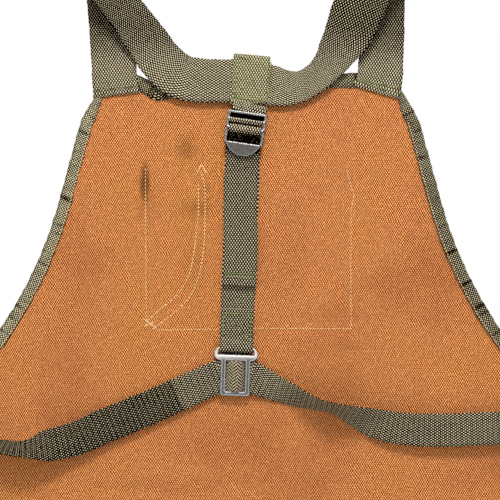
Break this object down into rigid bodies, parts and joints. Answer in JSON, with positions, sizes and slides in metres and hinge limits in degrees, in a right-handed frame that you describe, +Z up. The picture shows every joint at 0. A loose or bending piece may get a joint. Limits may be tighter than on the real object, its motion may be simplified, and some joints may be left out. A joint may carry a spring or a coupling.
{
  "type": "fruit picking bag",
  "caption": "Apron-shaped canvas fruit picking bag with a bulging front pouch, drop-open bottom, chest pocket, webbing shoulder straps and waist belt with steel adjusters",
  "frame": {"origin": "middle of the bib's top edge, on the wearer's face of the back panel", "axes": "+Z up as worn, wearer's side faces -Y, pouch bulges to +Y, +X to the right seen from the wearer's side"},
  "size_m": [0.6, 0.2046, 0.8695],
  "materials": {
    "canvas": "heavy orange-tan cotton canvas, plain weave, matt",
    "binding_tape": "olive and cream herringbone tape, slightly puckered",
    "shoulder_webbing": "ribbed olive webbing with cream flecks",
    "back_webbing": "herringbone olive webbing with cream flecks",
    "belt_webbing": "darker olive webbing with cream flecks",
    "steel": "gunmetal plating, worn bright on the rounded edges",
    "stud_metal": "gunmetal press studs"
  },
  "bodies": {
    "root": {"back_panel": "canvas", "bib_top_binding": "binding_tape", "armhole_binding_left": "binding_tape", "armhole_binding_right": "binding_tape", "skirt_binding": "binding_tape", "chest_pocket": "canvas", "pocket_hem": "binding_tape", "pouch_panel": "canvas", "pouch_rim_binding": "binding_tape", "shoulder_strap_left": "shoulder_webbing", "shoulder_strap_right": "shoulder_webbing", "junction_patch": "shoulder_webbing", "waist_belt_left": "belt_webbing", "waist_belt_right": "belt_webbing", "snap_studs": "stud_metal"},
    "centre_strap": {"centre_strap": "back_webbing"},
    "strap_tail": {"strap_tail": "back_webbing"},
    "t_slider": {"t_slider": "steel", "belt_loop": "back_webbing"},
    "ladder_lock": {"ladder_lock": "steel", "lock_tab_loop": "shoulder_webbing", "lock_strap_wrap": "back_webbing"},
    "chute": {"chute_flap": "canvas", "chute_hem": "binding_tape", "chute_straps": "belt_webbing", "snap_caps": "stud_metal"}
  },
  "joints": [
    {"name": "back_strap_adjust", "type": "slide", "parent": "root", "child": "centre_strap", "axis": [0.0349, 0, 0.9994], "range_m": [-0.03, 0.018]},
    {"name": "tail_slide", "type": "slide", "parent": "root", "child": "strap_tail", "axis": [0.0349, 0, 0.9994], "range_m": [-0.018, 0.03]},
    {"name": "lock_tilt", "type": "hinge", "parent": "root", "child": "ladder_lock", "pos_m": [-0.0009, -0.00505, -0.00759], "axis": [-0.9895, 0, 0.1444], "range_deg": [0, 35]},
    {"name": "slider_tilt", "type": "hinge", "parent": "centre_strap", "child": "t_slider", "pos_m": [-0.01191, -0.0057, -0.22062], "axis": [-0.9994, 0, 0.0349], "range_deg": [0, 25]},
    {"name": "chute_drop", "type": "hinge", "parent": "root", "child": "chute", "pos_m": [0, 0.02179, -0.64395], "axis": [-1, 0, 0], "range_deg": [0, 140]}
  ],
  "couplings": [
    {"joint": "tail_slide", "follows": "back_strap_adjust", "ratio": -1}
  ]
}
